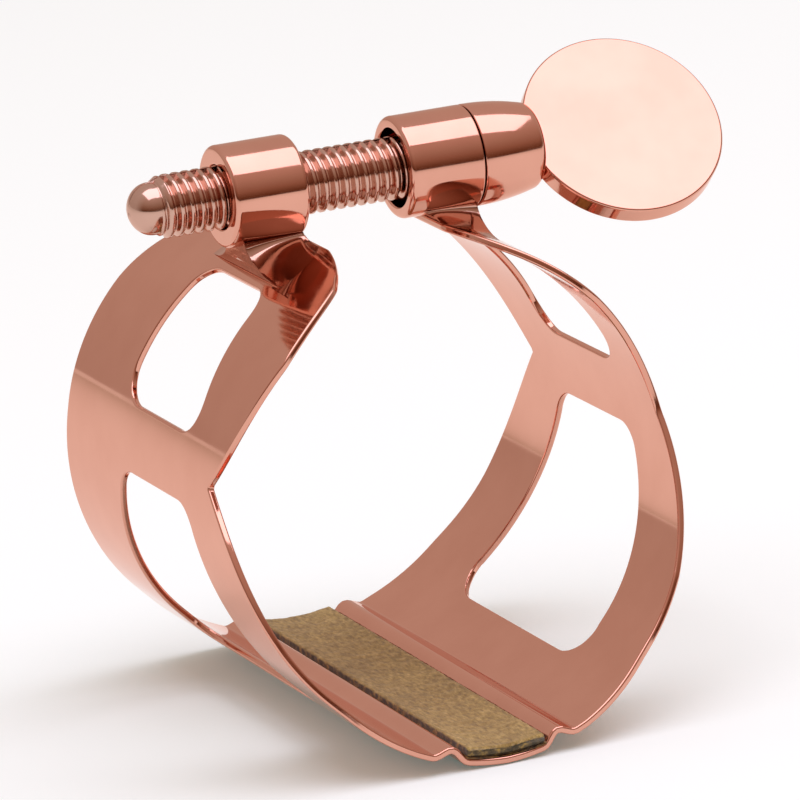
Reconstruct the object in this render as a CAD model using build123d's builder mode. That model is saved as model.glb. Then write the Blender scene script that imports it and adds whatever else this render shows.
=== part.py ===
from build123d import *
import os
from math import asin, cos, radians, sin, sqrt

os.makedirs("parts", exist_ok=True)

# Saxophone ligature: a sprung sheet-metal band that one screw draws closed.
# +Z is up, the mouthpiece lies along Y, and the origin is on the axis of the ring.

# ---- driving dimensions (mm) ----
ring_radius = 13.0  # inside of the band
sheet = 0.4  # thickness of the band
side_spread = 0.06  # how much wider the sides are bent below the middle than above it
band_length = 31.0  # along the mouthpiece, at the reed
seat_radius = 11.5  # of the lowered floor under the reed
ridge_offset = 3.25  # from the middle of the floor to each pressed ridge
ridge_half_width = 0.85
ridge_height = 0.58
pad_width = 4.6
pad_length = 30.4
pad_thickness = 0.55
glue_thickness = 0.08

screw_height = 15.8  # axis of the screw above the axis of the ring
screw_shift = -1.0  # middle of the opening, to the left of the ring's middle
opening = 6.0  # between the two barrels, at rest
barrel_radius = 2.85
barrel_length = 4.35
barrel_rounding = 0.3
mouth_chamfer = 0.2
left_arm_x = -3.5  # end of each arm of the band
right_arm_x = 3.5
thread_radius = 1.75
running_fit = 0.03
bearing_fit = 0.05
counterbore_radius = 2.2
counterbore_depth = 2.8
tip_reach = 5.2  # of the screw past the threaded barrel
dome_length = 1.3
dome_radius = 1.45
dome_neck = 0.3  # length of the turned neck between the dome and the thread, and of the cone after it
bearing_rounding = 0.1  # of the plain barrel's rim against the collar
collar_length = 3.9
collar_end_radius = 2.3
collar_rounding = 0.6
collar_hollow = 0.12  # how far the collar's side bends in at half its length
collar_gap = 0.08
collar_bore_depth = 2.6
press_gap = 0.01
disc_radius = 5.7
disc_thickness = 1.15
disc_angle = 44.0  # lean of the disc's face from upright
disc_seat = 0.3  # how far the disc sits in the collar's slot
disc_rounding = 0.12

braze_top = 14.4  # height where a foot leaves its barrel
braze_low = 10.2
braze_top_half = 2.3
braze_bend = (2.55, 13.15)
braze_foot = (3.6, 12.4)
braze_side = (4.1, braze_low)
braze_inset = 0.15  # from the end of a barrel or an arm to its foot
left_foot_low_x = -7.15  # just above the window's top edge
left_foot_slant = 2.2  # height of the foot's outer end
cut_margin = 1.0

# Outline of the band seen from the side: half length along Y, then height.
tip_corner = (2.0, 12.95)
heel = (band_length / 2, -14.3)
waisted_edge = ((7.4, 12.3), (10.2, 11.4), (11.6, 8.9), (10.4, 5.2), (7.9, 2.0), (11.0, -1.5), (13.0, -6.2))
wide_edge = ((7.9, 12.3), (10.9, 11.4), (12.5, 8.9), (12.9, 5.2), (13.1, 2.0), (13.5, -1.5), (14.1, -6.2))
narrow_edge = ((5.2, 12.3), (7.6, 11.4), (8.8, 8.9), (8.5, 5.2), (8.8, 2.0), (10.6, -1.5), (12.9, -6.2))
# The edge on each side (left is -1) at each end of the length (near is -1).
edges = {(-1, -1): waisted_edge, (-1, 1): wide_edge, (1, -1): narrow_edge, (1, 1): waisted_edge}

# Windows: angle of the middle from the top, then half sizes along Y and round the ring.
upper_window_angle = 53.0
upper_window_top = 4.2
upper_window_bottom = 5.2
upper_window_reach = 4.3
upper_window_corner = 1.8
lower_window_angle = 118.5
lower_window_top = 4.7
lower_window_middle = 7.2
lower_window_bottom = 8.3
lower_window_reach = 6.6
lower_window_corner = 2.0

# ---- sizes that follow ----
outer_radius = ring_radius + sheet
left_barrel_x = screw_shift - opening / 2 - barrel_length
right_barrel_x = screw_shift + opening / 2
tip_x = left_barrel_x - tip_reach
head_x = right_barrel_x + barrel_length + collar_gap
rod_end_x = head_x + collar_bore_depth
disc_x = head_x + collar_length - disc_seat + disc_radius
screw_axis = Axis((0, 0, screw_height), (1, 0, 0))

# The floor is one arc, which a short straight length joins to each side at 45 degrees.
side_radius = ring_radius + side_spread
side_join = (side_radius * sqrt(0.5) - side_spread, -side_radius * sqrt(0.5))
seat_join = seat_radius * sqrt(0.5)
seat_centre = side_join[1] - side_join[0] + 2 * seat_join


def on_floor(x, rise=0.0):
    """Point of the floor's arc at x, or of the arc that lies the given rise inside it."""
    return (x, seat_centre - sqrt((seat_radius - rise) ** 2 - x**2))


def flip(point):
    """The same point on the other side of the middle."""
    return (-point[0], point[1])


def half_section(arm_x):
    """Corners and arc points of the band's inside on the right, from the arm's end to the middle."""
    inner_foot = on_floor(ridge_offset - ridge_half_width)
    outer_foot = on_floor(ridge_offset + ridge_half_width)
    crest = (ridge_offset, on_floor(ridge_offset)[1] + ridge_height)
    arm_angle = asin(arm_x / ring_radius)
    arm_bend = (radians(90) + arm_angle) / 2
    side_bend = radians(45) / 2
    return {
        "arm": [
            (arm_x, ring_radius * cos(arm_angle)),
            (ring_radius * sin(arm_bend), ring_radius * cos(arm_bend)),
            (ring_radius, 0),
        ],
        "side": [
            (ring_radius, 0),
            (side_radius * cos(side_bend) - side_spread, -side_radius * sin(side_bend)),
            side_join,
        ],
        "straight": [side_join, (seat_join, seat_centre - seat_join)],
        "seat": [
            (seat_join, seat_centre - seat_join),
            on_floor((seat_join + outer_foot[0]) / 2),
            outer_foot,
        ],
        "ridge": [outer_foot, crest, inner_foot],
        "floor": [inner_foot, on_floor(inner_foot[0] / 2), on_floor(0)],
    }


def half_outline(side, end):
    """Outline of a half of the band at one end, on a plane whose Y is up when side and end agree."""
    return [(y, side * end * z) for y, z in (tip_corner, *edges[side, end], heel)]


# ---- band ----
with BuildPart() as band:
    with BuildSketch(Plane.XZ):
        with BuildLine():
            for turned, arm_x in ((False, right_arm_x), (True, -left_arm_x)):
                for points in half_section(arm_x).values():
                    if turned:
                        points = [flip(point) for point in points]
                    if len(points) == 2:
                        Line(*points)
                    else:
                        ThreePointArc(*points)
            offset(amount=sheet, side=Side.LEFT, closed=True, mode=Mode.REPLACE)
        make_face()
    extrude(amount=band_length / 2, both=True)
    for side, end in ((-1, -1), (-1, 1), (1, -1), (1, 1)):
        tip, bend, top, foot, above, waist, below, low, last = half_outline(side, end)
        past = band_length / 2 + cut_margin
        over = side * end * (outer_radius + cut_margin)
        with BuildSketch(Plane((0, 0, 0), x_dir=(0, end, 0), z_dir=(side, 0, 0))):
            with BuildLine():
                Line(tip, bend)
                ThreePointArc(bend, top, foot)
                ThreePointArc(foot, above, waist)
                ThreePointArc(waist, below, low)
                Polyline(low, last, (past, last[1]), (past, over), (tip[0], over), tip)
            make_face()
        extrude(amount=2 * ring_radius, mode=Mode.SUBTRACT)
    for side in (-1, 1):
        turn = radians(upper_window_angle)
        upper_plane = Plane((0, 0, 0), x_dir=(0, side, 0), z_dir=(side * sin(turn), 0, cos(turn)))
        with BuildSketch(upper_plane) as upper_window:
            Polygon(
                (upper_window_top, upper_window_reach),
                (-upper_window_top, upper_window_reach),
                (-upper_window_bottom, -upper_window_reach),
                (upper_window_bottom, -upper_window_reach),
                align=None,
            )
            fillet(upper_window.vertices(), upper_window_corner)
        extrude(amount=2 * ring_radius, mode=Mode.SUBTRACT)
        turn = radians(lower_window_angle)
        lower_plane = Plane((0, 0, 0), x_dir=(0, side, 0), z_dir=(side * sin(turn), 0, cos(turn)))
        with BuildSketch(lower_plane) as lower_window:
            with BuildLine():
                top = (lower_window_top, lower_window_reach)
                bottom = (lower_window_bottom, -lower_window_reach)
                ThreePointArc(top, (lower_window_middle, 0), bottom)
                Line(bottom, flip(bottom))
                ThreePointArc(flip(bottom), (-lower_window_middle, 0), flip(top))
                Line(flip(top), top)
            make_face()
            fillet(lower_window.vertices(), lower_window_corner)
        extrude(amount=2 * ring_radius, mode=Mode.SUBTRACT)
band.part.label = "band"
export_step(band.part, "parts/band.step")


# ---- reed pad and its glue ----
def floor_strip(bottom_rise, top_rise):
    """Close the outline of a layer that follows the floor between the two ridges."""
    half = pad_width / 2
    ThreePointArc(on_floor(-half, bottom_rise), on_floor(0, bottom_rise), on_floor(half, bottom_rise))
    Line(on_floor(half, bottom_rise), on_floor(half, top_rise))
    ThreePointArc(on_floor(half, top_rise), on_floor(0, top_rise), on_floor(-half, top_rise))
    Line(on_floor(-half, top_rise), on_floor(-half, bottom_rise))


with BuildPart() as pad_adhesive:
    with BuildSketch(Plane.XZ):
        with BuildLine():
            floor_strip(0, glue_thickness)
        make_face()
    extrude(amount=pad_length / 2, both=True)
pad_adhesive.part.label = "pad_adhesive"
export_step(pad_adhesive.part, "parts/pad_adhesive.step")

with BuildPart() as reed_pad:
    with BuildSketch(Plane.XZ):
        with BuildLine():
            floor_strip(glue_thickness, glue_thickness + pad_thickness)
        make_face()
    extrude(amount=pad_length / 2, both=True)
reed_pad.part.label = "reed_pad"
export_step(reed_pad.part, "parts/reed_pad.step")

# ---- threaded barrel, the nut that the screw draws along ----
left_mouth = Plane((left_barrel_x, 0, screw_height), x_dir=(0, 1, 0), z_dir=(1, 0, 0))
right_mouth = Plane((right_barrel_x, 0, screw_height), x_dir=(0, 1, 0), z_dir=(1, 0, 0))

with BuildPart() as threaded_barrel:
    with BuildSketch(left_mouth):
        Circle(barrel_radius)
        Circle(thread_radius + running_fit, mode=Mode.SUBTRACT)
    extrude(amount=barrel_length)
    rims = threaded_barrel.edges().filter_by(GeomType.CIRCLE).group_by(SortBy.RADIUS)
    fillet(rims[-1], barrel_rounding)
    chamfer(rims[0], mouth_chamfer)
threaded_barrel.part.label = "threaded_barrel"
export_step(threaded_barrel.part, "parts/threaded_barrel.step")

# ---- plain barrel, which the screw turns in ----
with BuildPart() as plain_barrel:
    with BuildSketch(right_mouth):
        Circle(barrel_radius)
        Circle(thread_radius + bearing_fit, mode=Mode.SUBTRACT)
    extrude(amount=barrel_length)
    with BuildSketch(right_mouth):
        Circle(counterbore_radius)
    extrude(amount=counterbore_depth, mode=Mode.SUBTRACT)
    rims = plain_barrel.edges().filter_by(GeomType.CIRCLE).group_by(SortBy.RADIUS)
    fillet(rims[-1].sort_by(Axis.X)[0], barrel_rounding)
    fillet(rims[-1].sort_by(Axis.X)[-1], bearing_rounding)
plain_barrel.part.label = "plain_barrel"
export_step(plain_barrel.part, "parts/plain_barrel.step")

# ---- brazed feet: concave fillets of filler between each barrel and its arm ----
left_foot_x = left_barrel_x + braze_inset
left_foot_end = left_barrel_x + barrel_length - braze_inset
right_foot_x = right_arm_x + braze_inset
right_foot_end = right_barrel_x + barrel_length - braze_inset


def foot_profile():
    """Section across the screw of a foot, wide at the band and narrow at the barrel."""
    Line((0, braze_top), (braze_top_half, braze_top))
    ThreePointArc((braze_top_half, braze_top), braze_bend, braze_foot)
    Line(braze_foot, braze_side)
    Line(braze_side, (0, braze_low))
    mirror(about=Plane.YZ)


with BuildPart() as threaded_barrel_braze:
    with BuildSketch(Plane.YZ.offset(left_foot_x)):
        with BuildLine():
            foot_profile()
        make_face()
    extrude(amount=left_foot_end - left_foot_x)
    with BuildSketch(Plane.XZ):
        with BuildLine():
            Polyline(
                (left_foot_x, braze_top),
                (left_foot_end, braze_top),
                (left_foot_end, braze_low),
                (left_foot_low_x, braze_low),
                (left_foot_x, braze_top - left_foot_slant),
                close=True,
            )
        make_face()
    extrude(amount=braze_side[0], both=True, mode=Mode.INTERSECT)
    Cylinder(outer_radius, band_length, rotation=(90, 0, 0), mode=Mode.SUBTRACT)
    with BuildSketch(left_mouth.offset(-cut_margin)):
        Circle(barrel_radius)
    extrude(amount=barrel_length + 2 * cut_margin, mode=Mode.SUBTRACT)
threaded_barrel_braze.part.label = "threaded_barrel_braze"
export_step(threaded_barrel_braze.part, "parts/threaded_barrel_braze.step")

with BuildPart() as plain_barrel_braze:
    with BuildSketch(Plane.YZ.offset(right_foot_x)):
        with BuildLine():
            foot_profile()
        make_face()
    extrude(amount=right_foot_end - right_foot_x)
    Cylinder(outer_radius, band_length, rotation=(90, 0, 0), mode=Mode.SUBTRACT)
    with BuildSketch(right_mouth.offset(-cut_margin)):
        Circle(barrel_radius)
    extrude(amount=barrel_length + 2 * cut_margin, mode=Mode.SUBTRACT)
plain_barrel_braze.part.label = "plain_barrel_braze"
export_step(plain_barrel_braze.part, "parts/plain_barrel_braze.step")

# ---- clamp screw: domed tip, threaded rod and the plain end inside the collar ----
with BuildPart() as clamp_screw:
    with BuildSketch(Plane.XZ):
        with BuildLine():
            dome_end = tip_x + dome_length
            bend = (tip_x + dome_length * (1 - sqrt(0.5)), screw_height + dome_radius * sqrt(0.5))
            ThreePointArc((tip_x, screw_height), bend, (dome_end, screw_height + dome_radius))
            Polyline(
                (dome_end, screw_height + dome_radius),
                (dome_end + dome_neck, screw_height + dome_radius),
                (dome_end + 2 * dome_neck, screw_height + thread_radius),
                (rod_end_x, screw_height + thread_radius),
                (rod_end_x, screw_height),
                (tip_x, screw_height),
            )
        make_face()
    revolve(axis=screw_axis)
clamp_screw.part.label = "clamp_screw"
export_step(clamp_screw.part, "parts/clamp_screw.step")

# ---- collar pressed on the rod, with a slot across its end for the disc ----
lean = radians(disc_angle)
disc_plane = Plane(
    (disc_x, 0, screw_height), x_dir=(1, 0, 0), z_dir=(0, -cos(lean), sin(lean))
).offset(-disc_thickness / 2)

with BuildPart() as screw_collar:
    with BuildSketch(Plane.XZ):
        with BuildLine():
            collar_end = head_x + collar_length
            Polyline(
                (collar_end, screw_height + collar_end_radius),
                (collar_end, screw_height),
                (rod_end_x + press_gap, screw_height),
                (rod_end_x + press_gap, screw_height + thread_radius + press_gap),
                (head_x, screw_height + thread_radius + press_gap),
                (head_x, screw_height + barrel_radius),
            )
            ThreePointArc(
                (head_x, screw_height + barrel_radius),
                (head_x + collar_length / 2, screw_height + barrel_radius - collar_hollow),
                (collar_end, screw_height + collar_end_radius),
            )
        make_face()
    revolve(axis=screw_axis)
    fillet(screw_collar.edges().filter_by(GeomType.CIRCLE).sort_by(Axis.X)[-1], collar_rounding)
    with BuildSketch(disc_plane):
        Circle(disc_radius)
    extrude(amount=disc_thickness, mode=Mode.SUBTRACT)
screw_collar.part.label = "screw_collar"
export_step(screw_collar.part, "parts/screw_collar.step")

# ---- thumb disc ----
with BuildPart() as thumb_disc:
    with BuildSketch(disc_plane):
        Circle(disc_radius)
    extrude(amount=disc_thickness)
    fillet(thumb_disc.edges().filter_by(GeomType.CIRCLE), disc_rounding)
thumb_disc.part.label = "thumb_disc"
export_step(thumb_disc.part, "parts/thumb_disc.step")
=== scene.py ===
import math

import bpy
import numpy as np
from mathutils import Matrix, Vector, noise
from mathutils.geometry import delaunay_2d_cdt


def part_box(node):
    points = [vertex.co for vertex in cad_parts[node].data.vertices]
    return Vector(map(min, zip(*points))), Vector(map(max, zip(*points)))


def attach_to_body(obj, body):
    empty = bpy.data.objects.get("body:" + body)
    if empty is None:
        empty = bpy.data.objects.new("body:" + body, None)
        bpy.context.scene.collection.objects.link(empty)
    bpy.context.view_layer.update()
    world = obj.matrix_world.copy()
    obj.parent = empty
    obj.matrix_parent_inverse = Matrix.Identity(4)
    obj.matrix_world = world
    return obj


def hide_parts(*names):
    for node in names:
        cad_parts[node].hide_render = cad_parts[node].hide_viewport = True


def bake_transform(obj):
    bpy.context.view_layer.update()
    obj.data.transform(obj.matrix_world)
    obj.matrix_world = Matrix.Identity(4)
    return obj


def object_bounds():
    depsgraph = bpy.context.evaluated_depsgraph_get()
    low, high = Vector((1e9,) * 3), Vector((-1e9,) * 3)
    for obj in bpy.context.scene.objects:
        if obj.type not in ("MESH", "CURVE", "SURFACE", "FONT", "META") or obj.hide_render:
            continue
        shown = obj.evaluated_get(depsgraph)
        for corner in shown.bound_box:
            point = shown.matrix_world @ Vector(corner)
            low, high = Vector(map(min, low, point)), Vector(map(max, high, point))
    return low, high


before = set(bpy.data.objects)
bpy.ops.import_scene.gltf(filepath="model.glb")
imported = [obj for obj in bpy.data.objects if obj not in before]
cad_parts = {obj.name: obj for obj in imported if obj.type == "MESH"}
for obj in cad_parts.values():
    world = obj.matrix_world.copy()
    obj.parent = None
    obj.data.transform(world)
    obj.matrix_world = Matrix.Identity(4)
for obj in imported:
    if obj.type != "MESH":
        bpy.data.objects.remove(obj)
cad_low, cad_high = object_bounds()

# Everything below is worked out in millimetres and written to Blender in metres.
MM = 0.001


def box_mm(node):
    """Lowest and highest corner of a CAD node, in millimetres."""
    low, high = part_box(node)
    return np.array(low) / MM, np.array(high) / MM


# ---- sizes of the band, the same as the frame's ----
RING_RADIUS = 13.0  # inside of the band
SHEET = 0.4
SIDE_SPREAD = 0.06  # how much wider the sides are below the middle than above it
SEAT_RADIUS = 11.5  # of the lowered floor under the reed
RIDGE_OFFSET = 3.25  # from the middle of the floor to each pressed ridge
RIDGE_HALF = 1.08
RIDGE_HEIGHT = 0.58
EDGE_ROUND = 0.13  # rounding of the sheet's cut edges
FLOOR_HALF = 3.0  # length from the middle of the floor over which the band's ends are straight
PAD_WIDTH = 4.6
PAD_THICKNESS = 0.55
GLUE_THICKNESS = 0.08

# Edges of the band seen along the screw, as (y, z) from the arm's tip down. The four differ in their waists.
HALF_LENGTH = 15.5
TIP_CORNER = (2.0, 12.95)
HEEL = (HALF_LENGTH, -14.3)
WAISTED_EDGE = ((7.4, 12.3), (10.2, 11.4), (11.6, 8.9), (10.4, 5.2), (7.9, 2.0), (11.0, -1.5), (13.0, -6.2))
WIDE_EDGE = ((7.9, 12.3), (10.9, 11.4), (12.5, 8.9), (12.9, 5.2), (13.1, 2.0), (13.5, -1.5), (14.1, -6.2))
NARROW_EDGE = ((5.2, 12.3), (7.6, 11.4), (8.8, 8.9), (8.5, 5.2), (8.8, 2.0), (10.6, -1.5), (12.9, -6.2))
# by side of the band (left is -1) and end of the mouthpiece (near is -1)
EDGES = {(-1, -1): WAISTED_EDGE, (-1, 1): WIDE_EDGE, (1, -1): NARROW_EDGE, (1, 1): WAISTED_EDGE}

# Rounded end of each arm: how far it reaches back, a point half way round as shares of that reach and of the
# arm's width, and the share of the width where the curve meets the end.
ARM_END_X = 3.5
ARM_CORNER = 1.9
ARM_SHOULDER = (0.4, 0.71)
ARM_NOSE = 0.42

# Windows: the angle of their middle from the top of the ring, half their width at the top, middle and bottom,
# and half their height, all on a plane that touches the band there.
WINDOW_PLANE = 13.2
WINDOWS = (
    {"angle": 53.0, "top": 4.2, "middle": 4.7, "bottom": 5.2, "reach": 4.3, "corner": 1.8},
    {"angle": 118.5, "top": 4.7, "middle": 7.2, "bottom": 8.3, "reach": 6.6, "corner": 2.0},
)

# ---- sizes of the screw group, from the frame ----
left_low, left_high = box_mm("threaded_barrel")
right_low, right_high = box_mm("plain_barrel")
rod_low, rod_high = box_mm("clamp_screw")
collar_low, collar_high = box_mm("screw_collar")
disc_low, disc_high = box_mm("thumb_disc")
pad_low, pad_high = box_mm("reed_pad")
SCREW_Z = (left_low[2] + left_high[2]) / 2
BARREL_RADIUS = (left_high[2] - left_low[2]) / 2
THREAD_RADIUS = (rod_high[2] - rod_low[2]) / 2
DISC_RADIUS = (disc_high[0] - disc_low[0]) / 2
DISC_X = (disc_low[0] + disc_high[0]) / 2
DISC_THICKNESS = 1.15
DISC_ROUNDING = 0.14
DISC_LEAN = math.radians(44)


# ---- mesh helpers ----
def faces_along(points, normals, face):
    """True when the face is turned the way its points' normals go."""
    a, b, c = (points[i] for i in face[:3])
    u, v = (c - a, points[face[3]] - b) if len(face) > 3 else (b - a, c - a)
    cross = (u[1] * v[2] - u[2] * v[1], u[2] * v[0] - u[0] * v[2], u[0] * v[1] - u[1] * v[0])
    return sum(cross @ normals[i] for i in face) > 0


def make_object(name, points, faces, material, normals=None):
    """A smooth mesh object from points in millimetres.

    With a normal for each point, the faces may be wound either way: they are turned to follow the normals.
    """
    points = np.asarray(points, float)
    if normals is not None:
        normals = np.asarray(normals, float)
        faces = [f if faces_along(points, normals, f) else f[::-1] for f in faces]
    mesh = bpy.data.meshes.new(name)
    mesh.from_pydata([tuple(p) for p in points * MM], [], faces)
    mesh.validate()
    mesh.shade_smooth()
    if normals is not None:
        mesh.normals_split_custom_set_from_vertices([tuple(n) for n in normals])
    obj = bpy.data.objects.new(name, mesh)
    bpy.context.scene.collection.objects.link(obj)
    mesh.materials.append(material)
    return obj


def attach(piece, body, node):
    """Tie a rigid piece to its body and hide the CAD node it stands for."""
    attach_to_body(piece, body)
    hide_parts(node)


def arc_through(a, b, c, step=0.25):
    """Points along the circle from a through b to c."""
    (ax, ay), (bx, by), (cx, cy) = a, b, c
    d = 2 * (ax * (by - cy) + bx * (cy - ay) + cx * (ay - by))
    a2, b2, c2 = ax * ax + ay * ay, bx * bx + by * by, cx * cx + cy * cy
    ox = (a2 * (by - cy) + b2 * (cy - ay) + c2 * (ay - by)) / d
    oy = (a2 * (cx - bx) + b2 * (ax - cx) + c2 * (bx - ax)) / d
    radius = math.hypot(ax - ox, ay - oy)
    start, middle, end = (math.atan2(p[1] - oy, p[0] - ox) for p in (a, b, c))
    turn = (end - start) % (2 * math.pi)
    if (middle - start) % (2 * math.pi) > turn:
        turn -= 2 * math.pi
    count = max(2, int(abs(turn) * radius / step))
    angles = start + np.linspace(0, 1, count + 1) * turn
    return np.stack([ox + radius * np.cos(angles), oy + radius * np.sin(angles)], 1)


def resample(points, step, closed=False):
    """The same line with evenly spaced points."""
    points = np.asarray(points, float)
    if closed:
        points = np.vstack([points, points[:1]])
    points = points[np.r_[True, np.hypot(*np.diff(points, axis=0).T) > 1e-9]]
    run = np.r_[0, np.cumsum(np.hypot(*np.diff(points, axis=0).T))]
    at = np.linspace(0, run[-1], max(3, int(round(run[-1] / step))) + 1)
    line = np.stack([np.interp(at, run, points[:, i]) for i in range(2)], 1)
    return line[:-1] if closed else line


def round_corner(before, corner, after, radius, count=10):
    """Arc of that radius that replaces a corner of an outline."""
    before, corner, after = (np.array(p, float) for p in (before, corner, after))
    u = (before - corner) / np.linalg.norm(before - corner)
    v = (after - corner) / np.linalg.norm(after - corner)
    half = math.acos(np.clip(u @ v, -1, 1)) / 2
    reach = radius / math.tan(half)
    centre = corner + (u + v) / np.linalg.norm(u + v) * radius / math.sin(half)
    start, end = corner + u * reach - centre, corner + v * reach - centre
    a0, a1 = math.atan2(start[1], start[0]), math.atan2(end[1], end[0])
    turn = (a1 - a0 + math.pi) % (2 * math.pi) - math.pi
    angles = a0 + np.linspace(0, 1, count) * turn
    return centre + radius * np.stack([np.cos(angles), np.sin(angles)], 1)


def rounded_profile(corners, radii, arc_points=7, step=0.5):
    """A closed profile whose corners are rounded, with extra points along its long sides."""
    line = []
    for i, (corner, radius) in enumerate(zip(corners, radii)):
        after = corners[(i + 1) % len(corners)]
        if radius > 0:
            line.extend(round_corner(corners[i - 1], corner, after, radius, arc_points))
        else:
            line.append(np.array(corner, float))
    out = []
    for p, q in zip(line, line[1:] + line[:1]):
        count = int(np.linalg.norm(q - p) / step) + 1
        out += [p + (q - p) * (k / count) for k in range(count)]
    return np.array(out)


def lathe(name, profile, material, segments=160, closed=True):
    """A turned piece about the screw's axis from (x, radius) points along its surface.

    A closed profile goes round a hollow ring. An open one gets a flat cap at both ends.
    """
    profile = np.asarray(profile, float)
    angles = np.arange(segments) * 2 * math.pi / segments
    count = len(profile)
    tangent = np.roll(profile, -1, 0) - np.roll(profile, 1, 0) if closed else np.gradient(profile, axis=0)
    tangent /= np.linalg.norm(tangent, axis=1)[:, None]
    points, normals = [], []
    for (x, r), (tx, tr) in zip(profile, tangent):
        for a in angles:
            points.append((x, r * math.sin(a), SCREW_Z + r * math.cos(a)))
            normals.append((-tr, tx * math.sin(a), tx * math.cos(a)))
    faces = []
    for i in range(count if closed else count - 1):
        j = (i + 1) % count
        for k in range(segments):
            m = (k + 1) % segments
            faces.append((i * segments + k, j * segments + k, j * segments + m, i * segments + m))
    if not closed:
        for ring, way in ((0, -1.0), (count - 1, 1.0)):
            hub = len(points)
            points.append((profile[ring, 0], 0, SCREW_Z))
            normals.append((way, 0, 0))
            faces += [(hub, ring * segments + k, ring * segments + (k + 1) % segments) for k in range(segments)]
    return make_object(name, points, faces, material, normals)


# ---- the band's section: middle of the sheet, by length from the middle of the floor ----
SIDE_RADIUS = RING_RADIUS + SIDE_SPREAD
SIDE_JOIN_X = SIDE_RADIUS * math.sqrt(0.5) - SIDE_SPREAD
SIDE_JOIN_Z = -SIDE_RADIUS * math.sqrt(0.5)
SEAT_CENTRE = SIDE_JOIN_Z - SIDE_JOIN_X + SEAT_RADIUS * math.sqrt(2)
STRAIGHT = SIDE_JOIN_X * math.sqrt(2) - SEAT_RADIUS
ARM_TURN = math.pi - math.asin(ARM_END_X / RING_RADIUS)
SEAT_END = (SEAT_RADIUS + SHEET / 2) * math.pi / 4
STRAIGHT_END = SEAT_END + STRAIGHT
SIDE_END = STRAIGHT_END + (SIDE_RADIUS + SHEET / 2) * math.pi / 4
ARM_END = SIDE_END + (RING_RADIUS + SHEET / 2) * (ARM_TURN - math.pi / 2)
RIDGE_AT = (SEAT_RADIUS + SHEET / 2) * math.asin(RIDGE_OFFSET / (SEAT_RADIUS + SHEET / 2))


def section(s):
    """Points (x, z) of the middle of the sheet at lengths s along the right half."""
    s = np.asarray(s, float)
    seat, side, arm = (r + SHEET / 2 for r in (SEAT_RADIUS, SIDE_RADIUS, RING_RADIUS))
    zones = [s < SEAT_END, s < STRAIGHT_END, s < SIDE_END]
    turns = [s / seat, np.full_like(s, math.pi / 4), math.pi / 4 + (s - STRAIGHT_END) / side]
    turn = np.select(zones, turns, math.pi / 2 + (s - SIDE_END) / arm)
    radius = np.select(zones, [seat, seat, side], arm)
    centre_x = np.select(zones, [0.0, 0.0, -SIDE_SPREAD], 0.0)
    centre_z = np.select(zones, [SEAT_CENTRE, SEAT_CENTRE, 0.0], 0.0)
    along = np.clip(s - SEAT_END, 0, STRAIGHT) * zones[1] * math.sqrt(0.5)
    # both pressed ridges stand on the inside of the floor
    lift = RIDGE_HEIGHT * np.cos(np.clip((s - RIDGE_AT) / RIDGE_HALF, -1, 1) * math.pi / 2) ** 2
    x = centre_x + (radius - lift) * np.sin(turn) + along
    z = centre_z - (radius - lift) * np.cos(turn) + along
    return x, z


def sheet_frame(s):
    """Middle point, inward normal and tangent of the sheet at lengths s."""
    d = 0.004
    before, after = np.stack(section(np.abs(s - d)), -1), np.stack(section(s + d), -1)
    # before the middle of the floor the section is its own mirror image
    before[..., 0] *= np.where(s < d, -1, 1)
    tangent = after - before
    tangent /= np.linalg.norm(tangent, axis=-1)[..., None]
    normal = np.stack([-tangent[..., 1], tangent[..., 0]], -1)
    return np.stack(section(s), -1), normal, tangent


def length_at_height(z):
    """Length along the section where the middle of the sheet is at height z."""
    s = np.linspace(0, ARM_END, 4000)
    heights = np.maximum.accumulate(section(s)[1] + s * 1e-9)
    return np.interp(z, heights, s)


# ---- rims of the flat sheet, as (length, y) points ----
RIM_STEP = 0.22


def band_edge(side, end):
    """One edge of half the flat sheet, from the seam at the floor round the corner of the arm."""
    bend, shoulder, foot, flank_above, waist, flank_below, hip = EDGES[side, end]
    outline = np.vstack(
        [
            np.linspace(TIP_CORNER, bend, 20),
            arc_through(bend, shoulder, foot),
            arc_through(foot, flank_above, waist),
            arc_through(waist, flank_below, hip),
            np.linspace(hip, HEEL, 60),
        ]
    )
    outline = outline[(outline[:, 1] < section(ARM_END)[1]) & (outline[:, 1] > section(0.0)[1])]
    line = np.stack([length_at_height(outline[:, 1]), outline[:, 0]], 1)[::-1]
    floor_end = line[0, 1]
    line = line[(line[:, 0] > FLOOR_HALF) & (line[:, 0] < ARM_END - ARM_CORNER)]
    width = line[-1, 1]
    back, share = ARM_SHOULDER
    nose = arc_through(line[-1], (ARM_END - back * ARM_CORNER, share * width), (ARM_END, ARM_NOSE * width), 0.1)
    return np.vstack([[(0.0, floor_end)], line, nose[1:]]) * (1, end)


def band_rim(side):
    """Open rim of one half: up the far edge, round the arm and back to the seam along the near edge."""
    return resample(np.vstack([band_edge(side, 1), band_edge(side, -1)[::-1]]), RIM_STEP)


def window_rim(window):
    """Closed rim of one window, cut straight through the bent band."""
    top = (window["top"], window["reach"])
    bottom = (window["bottom"], -window["reach"])
    straight = math.isclose(2 * window["middle"], window["top"] + window["bottom"])
    right = np.array([top, bottom]) if straight else arc_through(top, (window["middle"], 0.0), bottom)
    lower = round_corner(right[-2], bottom, (0, bottom[1]), window["corner"])
    upper = round_corner((0, top[1]), top, right[1], window["corner"])
    between = right[(right[:, 1] < upper[-1, 1]) & (right[:, 1] > lower[0, 1])]
    half = np.vstack([upper, between, lower])
    loop = np.vstack([half, half[::-1] * (-1, 1)])
    angle = math.radians(window["angle"]) - np.arcsin(loop[:, 1] / WINDOW_PLANE)
    heights = (RING_RADIUS + SHEET / 2) * np.cos(angle)
    return resample(np.stack([length_at_height(heights), loop[:, 0]], 1), RIM_STEP, closed=True)


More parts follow.
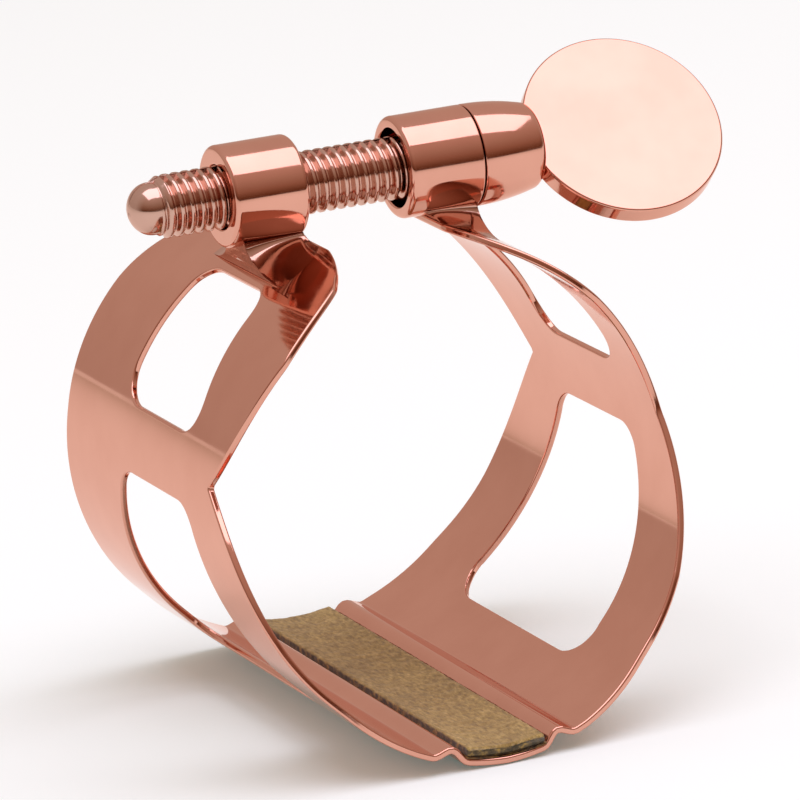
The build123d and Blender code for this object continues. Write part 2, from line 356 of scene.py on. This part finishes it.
def into_metal(line, closed):
    """Unit normals of a rim that point into the metal."""
    if closed:
        along = np.roll(line, -1, 0) - np.roll(line, 1, 0)
    else:
        along = np.vstack([line[1:], line[-1:]]) - np.vstack([line[:1], line[:-1]])
    along /= np.linalg.norm(along, axis=1)[:, None]
    way = np.sign(area(line)) * (-1 if closed else 1)
    normals = np.stack([-along[:, 1], along[:, 0]], 1) * way
    if not closed:
        # at the seam the rim runs straight on into the other half
        normals[0], normals[-1] = (0, -np.sign(line[0, 1])), (0, -np.sign(line[-1, 1]))
    return normals


def area(loop):
    """Area inside a line that is closed from its last point, positive when it turns to the left."""
    ahead = np.roll(loop, -1, 0)
    return 0.5 * np.sum(loop[:, 0] * ahead[:, 1] - ahead[:, 0] * loop[:, 1])


def is_inside(points, loop):
    """Even-odd test of points against a closed line."""
    x, y = points[:, 0], points[:, 1]
    result = np.zeros(len(points), bool)
    for (ax, ay), (bx, by) in zip(loop, np.roll(loop, -1, 0)):
        if ay != by:
            result ^= ((ay > y) != (by > y)) & (x < (bx - ax) * (y - ay) / (by - ay) + ax)
    return result


# ---- the band's two halves ----
RIDGE_GRID = 0.09  # spacing of the sheet's points along its length, over the ridges and beyond them
PLAIN_GRID = 0.26
CROSS_GRID = 1.3  # and along the mouthpiece
RIM_CLEARANCE = 0.2  # no point of the grid is nearer to a rim
SEAM_CLEARANCE = 0.05
SEAM_PARTS = 25


def edge_section():
    """Rounded cut edge from the inner to the outer face: (offset into the metal, depth, lean of the normal)."""
    inner = []
    for a in np.linspace(0, math.pi / 2, 5):
        inner.append((EDGE_ROUND * (1 - math.sin(a)), SHEET / 2 - EDGE_ROUND * (1 - math.cos(a)), a))
    return inner + [(offset, -depth, math.pi - a) for offset, depth, a in reversed(inner)]


def edge_strips(rims):
    """Rounded strips round all (rim, closed) pairs.

    Returns rows of (length, y, depth, lean, push along the length, push along y), the faces, and for each rim
    the numbers of its points on the inner face.
    """
    profile = edge_section()
    ring = len(profile)
    rows, faces, inner = [], [], []
    for rim, closed in rims:
        base, count = len(rows), len(rim)
        inner.append(base + np.arange(count) * ring)
        for point, into in zip(rim, into_metal(rim, closed)):
            rows += [(*(point + into * offset), depth, lean, *-into) for offset, depth, lean in profile]
        for i in range(count if closed else count - 1):
            a, b = base + i * ring, base + (i + 1) % count * ring
            faces += [(a + k, b + k, b + k + 1, a + k + 1) for k in range(ring - 1)]
    return np.array(rows), faces, inner


def fill_sheet(rims):
    """Fill the flat sheet between its open outer rim and the closed rims of its windows.

    Returns the points between them, which end with those on the seam, how many lie on the seam, and triangles
    numbered through the rims' points and then these.
    """
    outer, windows = rims[0], rims[1:]
    border = np.vstack(rims)
    lengths = np.r_[np.arange(0, RIDGE_AT + RIDGE_HALF + 0.3, RIDGE_GRID), np.arange(0, ARM_END, PLAIN_GRID)]
    across = np.arange(-HALF_LENGTH, HALF_LENGTH, CROSS_GRID)
    grid = np.array([(s, y) for s in np.unique(lengths) for y in across])

    def in_metal(points, around):
        inside = is_inside(points, around)
        for window in windows:
            inside &= ~is_inside(points, window)
        return inside

    grid = grid[in_metal(grid, outer)]
    to_rim = np.array([np.min(np.hypot(*(border - p).T)) for p in grid])
    grid = grid[(to_rim > RIM_CLEARANCE) & (grid[:, 0] > SEAM_CLEARANCE)]
    seam = np.array([(0.0, y) for y in np.linspace(outer[-1, 1], outer[0, 1], SEAM_PARTS + 1)[1:-1]])
    grid = np.vstack([grid, seam])

    total = len(border) + len(grid)
    chain = [len(outer) - 1, *range(total - len(seam), total), 0]
    fixed = [(i, i + 1) for i in range(len(outer) - 1)]
    start = len(outer)
    for window in windows:
        count = len(window)
        fixed += [(start + i, start + (i + 1) % count) for i in range(count)]
        start += count
    fixed += zip(chain[:-1], chain[1:])
    coords = [Vector(p) for p in np.vstack([border, grid])]
    verts, _, triangles, origins, _, _ = delaunay_2d_cdt(coords, fixed, [], 0, 1e-7)
    centres = np.array([np.mean([verts[i] for i in t], axis=0) for t in triangles])
    good = in_metal(centres, np.vstack([outer, seam]))
    return grid, len(seam), [[origins[i][0] for i in t] for t, ok in zip(triangles, good) if ok]


def band_half(name, side):
    """One half of the band: a bent sheet with rounded edges. side is 1 on the right and -1 on the left."""
    rims = [(band_rim(side), False)] + [(window_rim(window), True) for window in WINDOWS]
    strip, faces, inner = edge_strips(rims)
    grid, seam_count, triangles = fill_sheet([strip[ids, :2] for ids in inner])
    ring = len(edge_section())
    rows = [strip]
    first = len(strip)
    seams = []
    for layer, (depth, lean) in enumerate(((SHEET / 2, 0.0), (-SHEET / 2, math.pi))):
        rows.append(np.hstack([grid, np.tile((depth, lean, 0, 0), (len(grid), 1))]))
        borders = [ids + layer * (ring - 1) for ids in inner]
        numbers = np.r_[np.concatenate(borders), first + np.arange(len(grid))]
        faces += [tuple(int(numbers[i]) for i in t) for t in triangles]
        first += len(grid)
        seams.append([borders[0][-1], *range(first - seam_count, first), borders[0][0]])
    # wall at the seam, with the ends of the rounded edge
    faces += [(a, b, d, c) for a, b, c, d in zip(seams[0], seams[0][1:], seams[1], seams[1][1:])]
    faces += [tuple(range(start, start + ring)) for start in (inner[0][-1], inner[0][0])]

    rows = np.vstack(rows)
    y, depth, lean, push, push_y = rows[:, 1], rows[:, 2], rows[:, 3], rows[:, 4], rows[:, 5]
    middle, normal, tangent = sheet_frame(rows[:, 0])
    place = middle + normal * depth[:, None]
    points = np.stack([side * place[:, 0], y, place[:, 1]], 1)
    facing = normal * np.cos(lean)[:, None] + tangent * (push * np.sin(lean))[:, None]
    normals = np.stack([side * facing[:, 0], push_y * np.sin(lean), facing[:, 1]], 1)
    return make_object(name, points, faces, sheet_metal, normals)


# ---- materials ----
def new_material(name):
    """A material with its nodes, links and main shader."""
    material = bpy.data.materials.new(name)
    material.use_nodes = True
    nodes = material.node_tree.nodes
    return material, nodes, material.node_tree.links, nodes["Principled BSDF"]


def noise_node(nodes, links, scale, detail=4.0, rough=0.55, stretch=(1, 1, 1)):
    """Noise on the object's own coordinates, which are in metres."""
    coordinates = nodes.new("ShaderNodeTexCoord")
    mapping = nodes.new("ShaderNodeMapping")
    mapping.inputs["Scale"].default_value = stretch
    texture = nodes.new("ShaderNodeTexNoise")
    texture.inputs["Scale"].default_value = scale
    texture.inputs["Detail"].default_value = detail
    texture.inputs["Roughness"].default_value = rough
    links.new(coordinates.outputs["Object"], mapping.inputs["Vector"])
    links.new(mapping.outputs["Vector"], texture.inputs["Vector"])
    return texture.outputs["Fac"]


def ramp_node(nodes, links, source, stops):
    """Colours along a value, from (position, colour) pairs."""
    ramp = nodes.new("ShaderNodeValToRGB")
    elements = ramp.color_ramp.elements
    while len(elements) < len(stops):
        elements.new(0.5)
    for element, (position, color) in zip(elements, stops):
        element.position = position
        element.color = (*color, 1)
    links.new(source, ramp.inputs["Fac"])
    return ramp.outputs["Color"]


def mix_node(nodes, links, factor, a, b, blend="MIX"):
    """Mix of two colours. Each of factor, a and b is another node's output or a plain value."""
    mix = nodes.new("ShaderNodeMix")
    mix.data_type = "RGBA"
    mix.blend_type = blend
    for name, source in (("Factor", factor), ("A", a), ("B", b)):
        if isinstance(source, bpy.types.NodeSocket):
            links.new(source, mix.inputs[name])
        else:
            mix.inputs[name].default_value = source
    return mix.outputs["Result"]


def add_bump(nodes, links, shader, source, strength, distance):
    """Fine relief from a value, distance in metres."""
    bump = nodes.new("ShaderNodeBump")
    bump.inputs["Strength"].default_value = strength
    bump.inputs["Distance"].default_value = distance
    links.new(source, bump.inputs["Height"])
    links.new(bump.outputs["Normal"], shader.inputs["Normal"])


ROSE_GOLD = (0.72, 0.352, 0.258)
DULLED = (0.955, 0.93, 0.92)  # the darker tone, as shares of the plate's colour


def metal(name, color=ROSE_GOLD, low=0.05, high=0.11, grain=(1, 1, 1), scratch=0.00001):
    """Polished rose-gold plate: faint tone changes, hairline wear and uneven polish between two roughnesses."""
    material, nodes, links, shader = new_material(name)
    shader.inputs["Metallic"].default_value = 1.0
    shader.inputs["Specular Tint"].default_value = (1.0, 0.86, 0.80, 1.0)
    clouds = noise_node(nodes, links, 260, 3)
    darker = tuple(c * k for c, k in zip(color, DULLED))
    tone = ramp_node(nodes, links, clouds, [(0.35, darker), (0.65, color)])
    links.new(tone, shader.inputs["Base Color"])
    wear = noise_node(nodes, links, 900, 6, 0.6, grain)
    polish = ramp_node(nodes, links, wear, [(0.38, (low,) * 3), (0.72, (high,) * 3)])
    links.new(polish, shader.inputs["Roughness"])
    lines = noise_node(nodes, links, 1600, 3, 0.5, grain)
    add_bump(nodes, links, shader, lines, 0.05, scratch)
    return material


sheet_metal = metal("rose_gold_sheet", grain=(1, 0.25, 1))
turned_metal = metal("rose_gold_turned", grain=(0.3, 1, 1), low=0.06, high=0.13)
thread_metal = metal("rose_gold_thread", (0.62, 0.38, 0.30), 0.1, 0.2, (0.3, 1, 1))
# darker copy of the rose gold for the brazed feet: its lower base colour is painted shade of the hollow between
# barrel and arm
shaded_braze_metal = metal("rose_gold_braze_painted_shade", (0.58, 0.33, 0.255), 0.06, 0.16, scratch=0.00003)


def pad_look():
    """Napped olive-tan pad: fibres, blotches and darker cut edges with spots of glue."""
    material, nodes, links, shader = new_material("pad_nap")
    shader.inputs["Roughness"].default_value = 0.95
    shader.inputs["Sheen Weight"].default_value = 0.35
    shader.inputs["Sheen Roughness"].default_value = 0.5
    fibres = noise_node(nodes, links, 5200, 5, 0.7, (1, 0.35, 1))
    blotches = noise_node(nodes, links, 420, 3, 0.5)
    fibre_stops = [(0.33, (0.21, 0.13, 0.028)), (0.5, (0.385, 0.256, 0.066)), (0.68, (0.59, 0.42, 0.15))]
    fibre_tone = ramp_node(nodes, links, fibres, fibre_stops)
    blotch_tone = ramp_node(nodes, links, blotches, [(0.35, (0.84, 0.82, 0.78)), (0.65, (1.0, 1.0, 0.95))])
    nap = mix_node(nodes, links, 1.0, fibre_tone, blotch_tone, "MULTIPLY")
    # the cut sides are told from the nap by how far they face up
    geometry = nodes.new("ShaderNodeNewGeometry")
    parts = nodes.new("ShaderNodeSeparateXYZ")
    links.new(geometry.outputs["Normal"], parts.inputs["Vector"])
    sideways = ramp_node(nodes, links, parts.outputs["Z"], [(0.25, (1, 1, 1)), (0.75, (0, 0, 0))])
    spots = noise_node(nodes, links, 2300, 4, 0.65)
    side_stops = [(0.4, (0.06, 0.045, 0.02)), (0.52, (0.14, 0.1, 0.045)), (0.66, (0.46, 0.3, 0.07))]
    side_tone = ramp_node(nodes, links, spots, side_stops)
    links.new(mix_node(nodes, links, sideways, nap, side_tone), shader.inputs["Base Color"])
    add_bump(nodes, links, shader, fibres, 0.6, 0.00006)
    return material


def glue_look():
    """Glue film that shows as a brown and amber line along the pad."""
    material, nodes, links, shader = new_material("glue_film")
    shader.inputs["Roughness"].default_value = 0.45
    drips = noise_node(nodes, links, 2600, 4, 0.6)
    stops = [(0.35, (0.07, 0.03, 0.01)), (0.55, (0.24, 0.12, 0.03)), (0.7, (0.45, 0.28, 0.06))]
    links.new(ramp_node(nodes, links, drips, stops), shader.inputs["Base Color"])
    return material


# ---- band ----
band_left = band_half("band_left", -1)
band_right = band_half("band_right", 1)
section(ARM_END)[1] * MM
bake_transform(band_left)
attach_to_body(band_right, "root")
for piece in (band_left, band_right):
    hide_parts("band")


# ---- barrels ----
RUNNING_FIT = 0.03
BEARING_FIT = 0.05
BORE_ROUNDING = 0.15
RECESS_ROUNDING = 0.12


def barrel(name, node, body, bore, rounding, recess=None):
    """A turned barrel. rounding is for its left and right rim, recess the radius and depth of a left hollow."""
    low, high = box_mm(node)
    left, right = low[0], high[0]
    corners = [(left, BARREL_RADIUS), (right, BARREL_RADIUS), (right, bore)]
    radii = [*rounding, BORE_ROUNDING]
    if recess:
        radius, depth = recess
        corners += [(left + depth, bore), (left + depth, radius), (left, radius)]
        radii += [0, 0, RECESS_ROUNDING]
    else:
        corners += [(left, bore)]
        radii += [BORE_ROUNDING]
    attach(lathe(name, rounded_profile(corners, radii), turned_metal), body, node)


bearing = THREAD_RADIUS + BEARING_FIT
barrel("threaded_barrel_turned", "threaded_barrel", "jaw", THREAD_RADIUS + RUNNING_FIT, (0.3, 0.3))
barrel("plain_barrel_turned", "plain_barrel", "root", bearing, (0.3, 0.1), recess=(2.2, 2.8))


# ---- screw ----
THREAD_PITCH = 0.6
THREAD_DEPTH = 0.31
# over one turn: (share of the pitch, share of the depth)
THREAD_FORM = ((0.0, 0.0), (0.09, 0.0), (0.15, 0.10), (0.21, 0.33), (0.30, 0.67), (0.36, 0.90), (0.42, 1.0),
               (0.52, 1.0), (0.58, 0.90), (0.64, 0.67), (0.73, 0.33), (0.79, 0.10), (0.85, 0.0))
SCREW_SEGMENTS = 96
TIP_DOME = 1.3
TIP_RADIUS = 1.45
TIP_NECK = 0.15  # plain length after the dome
THREAD_FADE = 0.45
THREAD_END = right_high[0] - 1.2


def rod_radius(x, phase):
    """Radius of the screw at x, where phase counts turns of its thread."""
    neck = rod_low[0] + TIP_DOME
    dome = TIP_RADIUS * np.sqrt(np.clip(1 - np.clip((neck - x) / TIP_DOME, 0, 1) ** 2, 0, 1))
    form = np.array(THREAD_FORM + ((1.0, 0.0),))
    depth = THREAD_DEPTH * np.interp(phase % 1.0, form[:, 0], form[:, 1])
    fade = np.clip((THREAD_END - x) / THREAD_FADE, 0, 1)
    start = TIP_RADIUS + np.clip((x - neck - TIP_NECK) / THREAD_FADE, 0, 1) * (THREAD_RADIUS - TIP_RADIUS)
    return np.where(x < neck, dome, np.minimum(THREAD_RADIUS - depth * fade, start))


def screw_piece():
    """The screw: domed tip, helical right-hand thread and a plain open end that the collar hides.

    Rows of points follow the thread, so that its crests and roots are sharp. They start before the tip and run
    past the end, and are pressed together there.
    """
    tip, end = rod_low[0], rod_high[0]
    origin = tip - THREAD_PITCH
    turns = int((end - tip) / THREAD_PITCH) + 3
    shares = [share for share, _ in THREAD_FORM]
    rows = np.array([origin + (turn + share) * THREAD_PITCH for turn in range(turns) for share in shares])
    step = np.arange(SCREW_SEGMENTS)
    x = np.clip(rows[:, None] - THREAD_PITCH * step / SCREW_SEGMENTS, tip, end)
    a = np.broadcast_to(2 * math.pi * step / SCREW_SEGMENTS, x.shape)

    def surface(x, a):
        r = rod_radius(x, (x - origin) / THREAD_PITCH + a / (2 * math.pi))
        return np.stack([x, r * np.sin(a), SCREW_Z + r * np.cos(a)], -1)

    points = surface(x, a).reshape(-1, 3)
    d = 0.012
    along = surface(np.clip(x + d, tip, end + d), a) - surface(np.clip(x - d, tip, end), a)
    around = surface(x, a + d) - surface(x, a - d)
    normals = np.cross(along, around).reshape(-1, 3)
    size = np.linalg.norm(normals, axis=1)
    size[size < 1e-9] = 1
    normals /= size[:, None]
    normals *= np.sign((normals * (points - [0, 0, SCREW_Z])) @ [0.0, 1, 1])[:, None]
    normals[points[:, 0] < tip + 1e-6] = (-1.0, 0, 0)

    # points pressed together at the two ends become one
    _, index, back = np.unique(np.round(points, 4), axis=0, return_index=True, return_inverse=True)
    back = back.reshape(-1)
    faces = []
    for i in range(len(rows) - 1):
        for j in range(SCREW_SEGMENTS):
            p = i * SCREW_SEGMENTS + j
            q = p + 1
            if j + 1 == SCREW_SEGMENTS:
                # Known fault: a full turn brings each row back to the one a pitch before it, and this joins it to
                # the one a pitch after it, so long thin faces cross the thread along this column.
                if i + 1 + len(shares) >= len(rows):
                    continue
                q = (i + len(shares)) * SCREW_SEGMENTS
            corners = (p, p + SCREW_SEGMENTS, q + SCREW_SEGMENTS, q)
            face = tuple(dict.fromkeys(int(back[k]) for k in corners))
            if len(face) > 2:
                faces.append(face)
    return make_object("clamp_screw_turned", points[index], faces, thread_metal, normals[index])


attach(screw_piece(), "screw", "clamp_screw")

# ---- collar and disc ----
COLLAR_END = 2.3  # radius at the disc
COLLAR_HOLLOW = 0.12  # how far the collar's side bends in at half its length
CAP_HUB = 0.3  # radius of the first ring round the middle of a flat end


def collar_piece():
    """The collar: a full face against the plain barrel, a slightly hollow taper and a rounded end."""
    left, right = collar_low[0], collar_high[0]
    middle = ((left + right) / 2, BARREL_RADIUS - COLLAR_HOLLOW)
    side = arc_through((left, BARREL_RADIUS), middle, (right, COLLAR_END), 0.3)
    end = round_corner(side[-2], (right, COLLAR_END), (right, 0), 0.6, 9)
    rim = round_corner((left, THREAD_RADIUS), (left, BARREL_RADIUS), side[3], 0.1, 5)
    side = side[(side[:, 0] > rim[-1, 0]) & (side[:, 0] < end[0, 0])]
    outline = np.vstack([[(left, CAP_HUB), (left, 1.2)], rim, side, end, [(right, 0.8), (right, CAP_HUB)]])
    return lathe("screw_collar_turned", outline, turned_metal, closed=False)


def disc_piece():
    """Flat thumb disc with softened rims, leaning back from upright."""
    half, hub = DISC_THICKNESS / 2, 0.4
    corners = [(-half, hub), (-half, DISC_RADIUS), (half, DISC_RADIUS), (half, hub)]
    line = np.vstack(
        [
            [corners[0], (-half, DISC_RADIUS * 0.5)],
            round_corner(corners[0], corners[1], corners[2], DISC_ROUNDING, 6),
            round_corner(corners[1], corners[2], corners[3], DISC_ROUNDING, 6),
            [(half, DISC_RADIUS * 0.5), corners[3]],
        ]
    )
    piece = lathe("thumb_disc_turned", line, sheet_metal, 192, closed=False)
    facing = Vector((0, -math.cos(DISC_LEAN), math.sin(DISC_LEAN)))
    turn = Vector((1, 0, 0)).rotation_difference(facing).to_matrix()
    centre = Vector((0, 0, SCREW_Z * MM))
    seat = centre + Vector((DISC_X * MM, 0, 0))
    place = Matrix.Translation(seat) @ turn.to_4x4() @ Matrix.Translation(-centre)
    normals = [turn @ Vector(n.vector) for n in piece.data.corner_normals]
    piece.data.transform(place)
    piece.data.normals_split_custom_set([tuple(n) for n in normals])
    return piece


attach(collar_piece(), "screw", "screw_collar")
attach(disc_piece(), "screw", "thumb_disc")


# ---- brazed feet ----
FOOT_COLUMNS, FOOT_ROWS = 26, 18
FOOT_LEAVE = math.radians(53)  # where the foot leaves the barrel, below its middle
FOOT_TAPER = 0.4  # how much narrower the foot is at the arm's end
FOOT_SINK = 0.02  # into the sheet, so that no gap shows


def foot(name, node, body, x_top, x_low, spread):
    """Concave fillet between a barrel and its arm. x_top and x_low are its ends at the barrel and the sheet."""
    columns, rows = FOOT_COLUMNS, FOOT_ROWS
    sine, cosine = math.sin(FOOT_LEAVE), math.cos(FOOT_LEAVE)
    points = []
    for side in (-1, 1):
        for i in range(columns + 1):
            u = i / columns
            to_end = u if body == "jaw" else 1 - u
            reach = spread * (1 - FOOT_TAPER * to_end**3)
            at_top = x_top[0] + (x_top[1] - x_top[0]) * u
            at_low = x_low[0] + (x_low[1] - x_low[0]) * u
            for j in range(rows + 1):
                t = j / rows
                x = at_top * (1 - t) + at_low * t
                p0 = np.array([BARREL_RADIUS * cosine, SCREW_Z - BARREL_RADIUS * sine])
                p3 = np.array([reach, math.sqrt((RING_RADIUS + SHEET) ** 2 - x**2) - FOOT_SINK])
                p1 = p0 + np.array([-sine, -cosine]) * (p0[1] - p3[1]) * 0.42
                p2 = p3 - np.array([(reach - p0[0]) * 0.75, 0])
                q = p0 * (1 - t) ** 3 + 3 * p1 * t * (1 - t) ** 2 + 3 * p2 * t * t * (1 - t) + p3 * t**3
                points.append((x, side * q[0], q[1]))
    # Known fault: the two curved sides are wound inward, unlike the ends, the top and the bottom.
    faces = []
    half = (columns + 1) * (rows + 1)  # points on each side
    for start in (0, half):
        for i in range(columns):
            for j in range(rows):
                a = start + i * (rows + 1) + j
                quad = (a, a + 1, a + rows + 2, a + rows + 1)
                faces.append(quad if start else quad[::-1])
    for i in (0, columns):
        for j in range(rows):
            a = i * (rows + 1) + j
            quad = (a, a + 1, half + a + 1, half + a)
            faces.append(quad if i else quad[::-1])
    for j in (0, rows):
        for i in range(columns):
            a = i * (rows + 1) + j
            b = a + rows + 1
            quad = (a, b, half + b, half + a)
            faces.append(quad[::-1] if j else quad)
    piece = make_object(name, points, faces, shaded_braze_metal)
    bevel = piece.modifiers.new("soft_ends", "BEVEL")
    bevel.width = 0.12 * MM
    bevel.segments = 3
    bevel.limit_method = "ANGLE"
    bevel.angle_limit = math.radians(50)
    attach(piece, body, node)


left_top = (left_low[0] + 0.7, left_high[0] - 0.2)
right_top = (right_low[0] + 0.9, right_high[0] - 0.15)
foot("threaded_barrel_foot", "threaded_barrel_braze", "jaw", left_top, (-6.9, -3.75), 5.4)
foot("plain_barrel_foot", "plain_barrel_braze", "root", right_top, (3.75, 6.3), 4.6)


# ---- pad and glue ----
STRIP_STEP = 0.14
RIPPLES = ((2.2, 0.5), (7, 0.35), (17, 0.3))  # (scale, share) of each noise in a strip's rough surface


def strip_on_floor(name, width, length, rise, thickness, corner, ripple, material):
    """A soft strip that follows the floor between the ridges, with rounded edges and a rough surface."""
    half = width / 2
    corners = [(-half, 0), (half, 0), (half, thickness), (-half, thickness)]
    ring = rounded_profile(corners, [corner * 0.5, corner * 0.5, corner, corner], 5, 0.16)
    count = len(ring)
    rows = int(length / STRIP_STEP)
    points, faces = [], []
    for i in range(rows + 1):
        y = -length / 2 + length * i / rows
        to_end = min(1.0, (length / 2 - abs(y)) / (corner * 1.6))
        full = math.sqrt(max(0.0, 1 - (1 - to_end) ** 2))  # from 0 at the ends to 1 where the section is whole
        for u, h in ring:
            reach = u * (1 - 0.25 * corner / half * (1 - full))
            up = thickness / 2 + (h - thickness / 2) * (0.45 + 0.55 * full)
            spot = Vector((reach, y, SEAT_CENTRE - math.sqrt((SEAT_RADIUS - rise - up) ** 2 - reach**2)))
            on_top = h > thickness * 0.8
            direction = Vector((u / half * 0.4, 0, 1)).normalized() if on_top else Vector((u / half, 0, 0))
            grow = ripple * sum(noise.noise(spot * scale) * share for scale, share in RIPPLES)
            # the underside stays smooth
            points.append(spot + direction * grow if h > 0.02 else spot)
    # Known fault: all faces are wound inward.
    for i in range(rows):
        for k in range(count):
            m = (k + 1) % count
            faces.append((i * count + m, (i + 1) * count + m, (i + 1) * count + k, i * count + k))
    for row in (0, rows):
        hub = len(points)
        start = row * count
        points.append(sum(points[start : start + count], Vector()) / count)
        for k in range(count):
            tri = (hub, start + (k + 1) % count, start + k)
            faces.append(tri if row == 0 else tri[::-1])
    return make_object(name, points, faces, material)


pad_length = pad_high[1] - pad_low[1]
pad = strip_on_floor(
    "reed_pad_nap", PAD_WIDTH - 0.06, pad_length - 0.05, GLUE_THICKNESS, PAD_THICKNESS, 0.16, 0.06, pad_look()
)
attach(pad, "root", "reed_pad")

# the film shows a little round the pad
glue = strip_on_floor(
    "pad_glue_film", PAD_WIDTH + 0.12, pad_length + 0.02, 0.0, GLUE_THICKNESS * 1.2, 0.03, 0.03, glue_look()
)
attach(glue, "root", "pad_adhesive")


# ---- stage, light and camera ----
FLOOR_REACH = 1.0
FLOOR_GAP = 0.00005


def add_floor():
    """Plain pale floor just under the band."""
    mesh = bpy.data.meshes.new("studio_floor")
    height = float(cad_low[2]) - FLOOR_GAP
    corners = [(x * FLOOR_REACH, y * FLOOR_REACH, height) for x, y in ((-1, -1), (1, -1), (1, 1), (-1, 1))]
    mesh.from_pydata(corners, [], [(0, 1, 2, 3)])
    floor = bpy.data.objects.new("studio_floor", mesh)
    bpy.context.scene.collection.objects.link(floor)
    material, _, _, shader = new_material("pale_floor")
    shader.inputs["Base Color"].default_value = (0.94, 0.95, 0.89, 1)
    shader.inputs["Emission Color"].default_value = (0.45, 1.0, 1.0, 1)
    shader.inputs["Emission Strength"].default_value = 0.105
    shader.inputs["Roughness"].default_value = 0.9
    shader.inputs["Specular IOR Level"].default_value = 0.1
    mesh.materials.append(material)


def add_softbox():
    """One large softbox overhead, a little towards the camera."""
    light = bpy.data.lights.new("softbox", "AREA")
    light.shape = "RECTANGLE"
    light.size, light.size_y = 0.9, 0.55
    light.energy = 2.75
    light.color = (0.97, 1.0, 1.25)
    softbox = bpy.data.objects.new("softbox", light)
    softbox.location = (0.1, -0.115, 0.6)
    bpy.context.scene.collection.objects.link(softbox)


def add_surround():
    """Plain surround that the metal mirrors, darker towards the front and palest low down at the back."""
    world = bpy.data.worlds.new("studio")
    bpy.context.scene.world = world
    world.use_nodes = True
    nodes, links = world.node_tree.nodes, world.node_tree.links
    coordinates = nodes.new("ShaderNodeTexCoord")
    parts = nodes.new("ShaderNodeSeparateXYZ")
    links.new(coordinates.outputs["Generated"], parts.inputs["Vector"])

    def share(axis, low, high):
        span = nodes.new("ShaderNodeMapRange")
        span.inputs["From Min"].default_value = low
        span.inputs["From Max"].default_value = high
        links.new(parts.outputs[axis], span.inputs["Value"])
        return ramp_node(nodes, links, span.outputs["Result"], [(0.0, (0, 0, 0)), (1.0, (1, 1, 1))])

    front_stops = [(0.0, (0.13, 0.055, 0.03)), (0.06, (0.17, 0.075, 0.04)), (0.25, (0.34, 0.2, 0.145)),
                   (0.5, (0.48, 0.35, 0.29)), (0.7, (0.6, 0.45, 0.4)), (1.0, (0.66, 0.52, 0.47))]
    back_stops = [(0.0, (0.56, 0.48, 0.44)), (0.4, (0.62, 0.54, 0.5)), (1.0, (0.68, 0.6, 0.58))]
    front = ramp_node(nodes, links, parts.outputs["Z"], front_stops)
    back = ramp_node(nodes, links, parts.outputs["Z"], back_stops)
    to_back = share("Y", -0.35, 0.25)
    above = mix_node(nodes, links, to_back, front, back)
    below = mix_node(nodes, links, to_back, (0.10, 0.04, 0.025, 1), (0.85, 0.84, 0.83, 1))
    whole = mix_node(nodes, links, share("Z", -0.004, 0.0), below, above)
    # the backdrop itself is plain and pale; only the metal mirrors the darker studio
    rays = nodes.new("ShaderNodeLightPath")
    backdrop = mix_node(nodes, links, rays.outputs["Is Camera Ray"], whole, (0.95, 0.94, 0.94, 1))
    links.new(backdrop, nodes["Background"].inputs["Color"])


def add_camera(azimuth, elevation, roll, distance, scale, shift):
    """Camera that looks at the object from the given direction and distance.

    scale is in pixels for each millimetre in a square picture of 800, and shift moves the view right and up.
    """
    az, el, turn = (math.radians(v) for v in (azimuth, elevation, roll))
    back = Vector((math.sin(az) * math.cos(el), -math.cos(az) * math.cos(el), math.sin(el)))
    right = Vector((math.cos(az), math.sin(az), 0))
    up = back.cross(right)
    x_axis = right * math.cos(turn) + up * math.sin(turn)
    y_axis = up * math.cos(turn) - right * math.sin(turn)
    data = bpy.data.cameras.new("camera")
    data.sensor_width = 36
    data.lens = scale * distance / 800 * data.sensor_width
    data.clip_start = 0.01
    camera = bpy.data.objects.new("camera", data)
    camera.matrix_world = Matrix((x_axis, y_axis, back)).transposed().to_4x4()
    camera.location = (back * distance + right * shift[0] + up * shift[1]) * MM
    bpy.context.scene.collection.objects.link(camera)
    bpy.context.scene.camera = camera


add_floor()
add_softbox()
add_surround()
add_camera(azimuth=-22.0, elevation=14.77, roll=-4.26, distance=500, scale=18.17, shift=(1.33, 2.78))
bpy.context.scene.view_settings.view_transform = "Standard"
